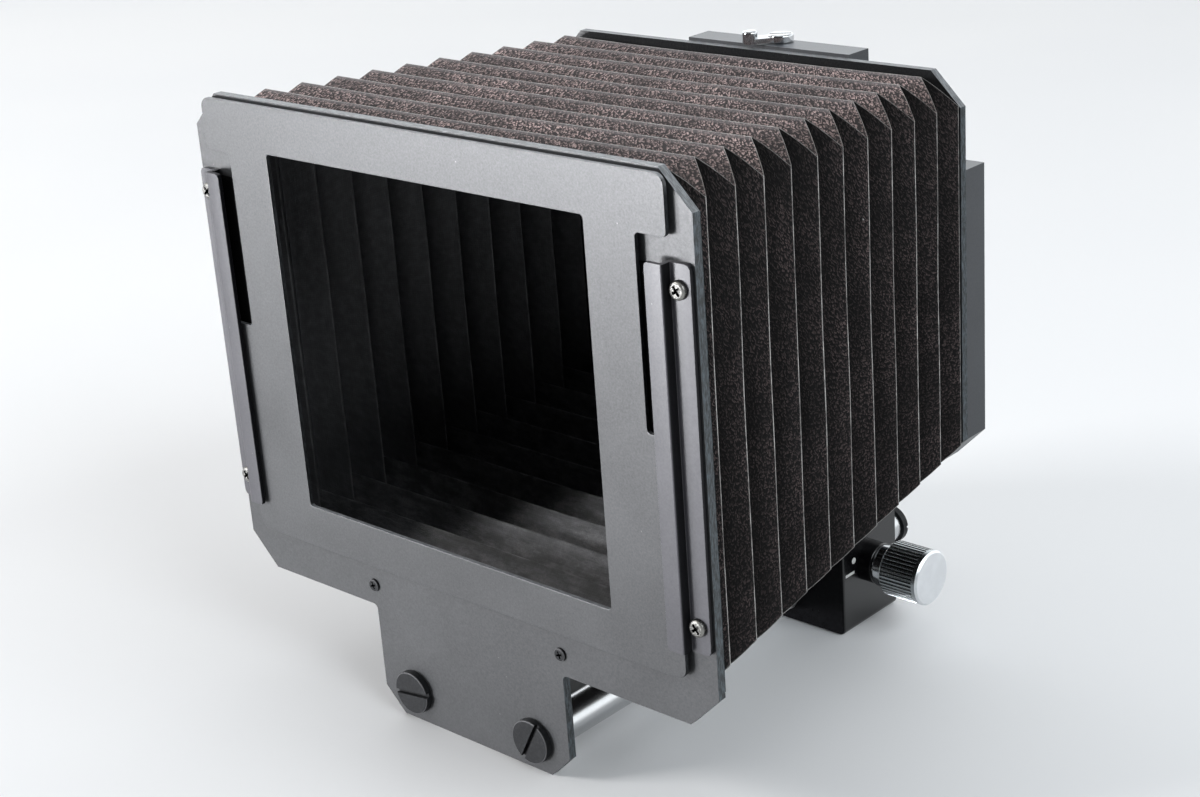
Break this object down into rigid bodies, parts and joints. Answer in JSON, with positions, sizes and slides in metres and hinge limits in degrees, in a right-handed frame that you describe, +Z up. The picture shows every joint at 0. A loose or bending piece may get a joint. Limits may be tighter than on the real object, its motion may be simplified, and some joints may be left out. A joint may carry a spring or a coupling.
{
  "type": "bellows lens hood",
  "caption": "Pleated bellows lens hood: a front plate with lift-out mask slides on two rods over a rear housing with a turning screw-in lens ring.",
  "frame": {"origin": "the lens axis, at the face where the screw-in ring seats on the lens", "axes": "+Y back towards the lens, +Z up, +X right seen from the front"},
  "size_m": [0.14, 0.1343, 0.1375],
  "materials": {
    "plate_paint": "satin black, fine grain",
    "housing_paint": "satin black",
    "block_black": "semi-gloss black",
    "black_anodised": "black anodised, satin",
    "black_steel": "blackened steel",
    "worn_steel": "blackened steel worn bright",
    "bright_steel": "ground steel",
    "chrome": "bright chrome",
    "brass": "turned",
    "felt": "black felt",
    "leatherette": "pebbled bookcloth, dark brown-black"
  },
  "bodies": {
    "rear_standard": {"rear_frame": "plate_paint", "frame_screws": "black_steel", "adapter_housing": "housing_paint", "ring_retainer": "housing_paint", "retainer_screws": "black_steel", "bracket": "housing_paint", "bracket_screws": "black_steel", "block_screws": "black_steel", "rod_block": "block_black", "rod_bushes": "brass", "knob_bush": "block_black", "shaft_retaining_screw": "black_steel", "bellows": "leatherette"},
    "front_standard": {"front_plate": "plate_paint", "front_bellows_frame": "plate_paint", "left_rail": "plate_paint", "right_rail": "plate_paint", "left_felt": "felt", "right_felt": "felt", "rail_screws": "worn_steel", "board_screws": "black_steel", "rod_screws": "black_steel", "left_rod": "chrome", "right_rod": "chrome", "rod_stops": "black_steel"},
    "mask": {"mask_plate": "plate_paint"},
    "lens_ring": {"lens_ring": "black_anodised"},
    "ring_lever": {"lock_lever": "chrome"},
    "ring_shoe": {"ring_shoe": "brass"},
    "knob": {"lock_knob": "chrome", "knob_collar": "chrome", "knob_grub_screw": "black_steel", "eccentric_shaft": "bright_steel"},
    "rod_shoes": {"rod_shoes": "brass"}
  },
  "joints": [
    {"name": "front_slide", "type": "slide", "parent": "rear_standard", "child": "front_standard", "axis": [0, 1, 0], "range_m": [-0.0225, 0.072], "deforming": ["bellows"]},
    {"name": "mask_slide", "type": "slide", "parent": "front_standard", "child": "mask", "axis": [0, 0, 1], "range_m": [-0.004, 0.106]},
    {"name": "knob_turn", "type": "hinge", "parent": "rear_standard", "child": "knob", "pos_m": [0, -0.0185, -0.0706], "axis": [1, 0, 0], "range_deg": [0, 120]},
    {"name": "rod_shoe_press", "type": "slide", "parent": "rear_standard", "child": "rod_shoes", "axis": [0, 0, -1], "range_m": [0, 0.000433]},
    {"name": "lens_ring_spin", "type": "hinge", "parent": "rear_standard", "child": "lens_ring", "pos_m": [0, -0.004, 0], "axis": [0, 1, 0], "continuous": true},
    {"name": "lever_turn", "type": "hinge", "parent": "rear_standard", "child": "ring_lever", "pos_m": [0.0055, -0.0048, 0.0465], "axis": [0, 0, 1], "range_deg": [0, 70]},
    {"name": "ring_shoe_press", "type": "slide", "parent": "rear_standard", "child": "ring_shoe", "axis": [0, 0, -1], "range_m": [0, 0.00027]}
  ],
  "couplings": [
    {"joint": "knob_turn", "follows": "rod_shoe_press", "rad_per_m": 4835},
    {"joint": "lever_turn", "follows": "ring_shoe_press", "rad_per_m": 4520}
  ]
}
